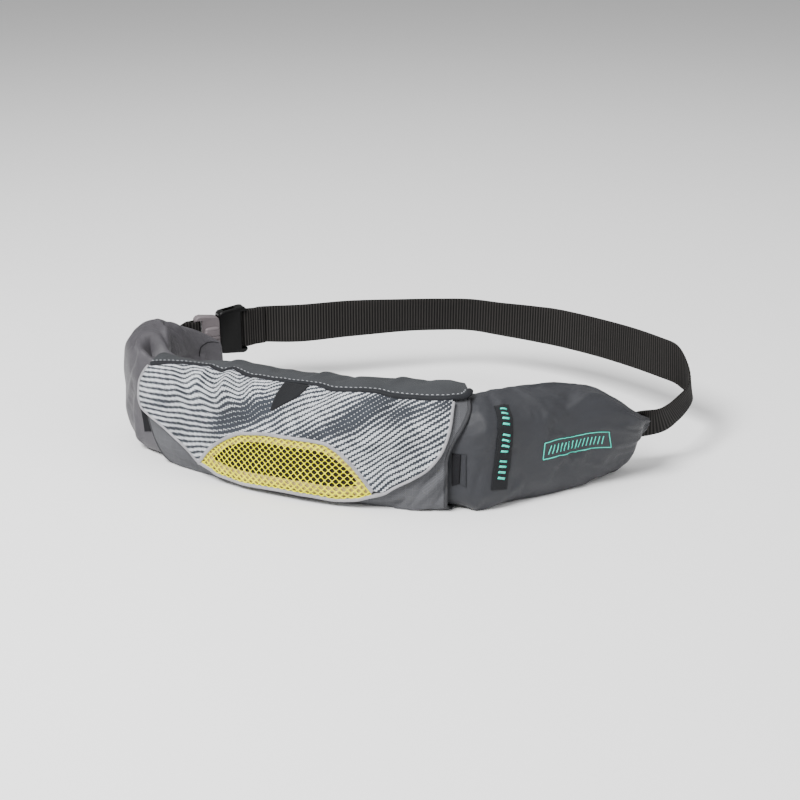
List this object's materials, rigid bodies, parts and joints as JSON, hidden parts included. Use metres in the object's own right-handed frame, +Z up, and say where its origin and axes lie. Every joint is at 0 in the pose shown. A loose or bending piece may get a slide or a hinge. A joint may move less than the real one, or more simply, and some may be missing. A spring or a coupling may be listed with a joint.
{
  "type": "inflatable belt pack",
  "caption": "Waist belt pack of stuffed cloth wings in an open-ended pouch, with a printed flap and net pocket, and a webbing strap joined by a side-release buckle.",
  "frame": {"origin": "under the middle of the whole pack's bounding box, on the surface it lies on", "axes": "+X to the wearer's left as seen from the front of the flap, along the longest way; +Y from the flap to the strap at the back; +Z up"},
  "size_m": [0.528, 0.3342, 0.1024],
  "materials": {
    "pouch_cloth": "ripstop weave, matt",
    "edge_tape": "bound edge, matt",
    "left_wing_cloth": "coated cloth, soft sheen",
    "right_wing_cloth": "coated cloth, soft sheen",
    "flap_cloth": "woven cloth, matt",
    "binding_tape": "bound edge, matt",
    "printed_cloth": "woven cloth with pale wavy stripes",
    "pale_piping": "smooth piping, satin",
    "net": "open net, matt",
    "dark_lining": "matt",
    "dark_patch": "woven patch, matt",
    "hook_tape": "hook and loop tape, matt",
    "dark_buckle": "moulded, satin",
    "mauve_buckle": "moulded, satin",
    "webbing": "ribbed webbing, matt"
  },
  "bodies": {
    "root": {"pouch": "pouch_cloth", "pouch_edge_left": "edge_tape", "pouch_edge_right": "edge_tape", "left_wing": "left_wing_cloth", "right_wing": "right_wing_cloth", "flap_top": "flap_cloth", "flap_binding": "binding_tape", "flap_panel": "printed_cloth", "flap_piping": "pale_piping", "net_piping": "pale_piping", "net_panel": "net", "net_lining": "dark_lining", "tab": "dark_patch", "label": "dark_patch", "right_hook_tape": "hook_tape", "right_hook_backing": "edge_tape", "left_hook_tape": "hook_tape", "buckle_female": "dark_buckle", "buckle_male": "mauve_buckle", "strap": "webbing", "strap_stub": "webbing"}
  },
  "joints": []
}
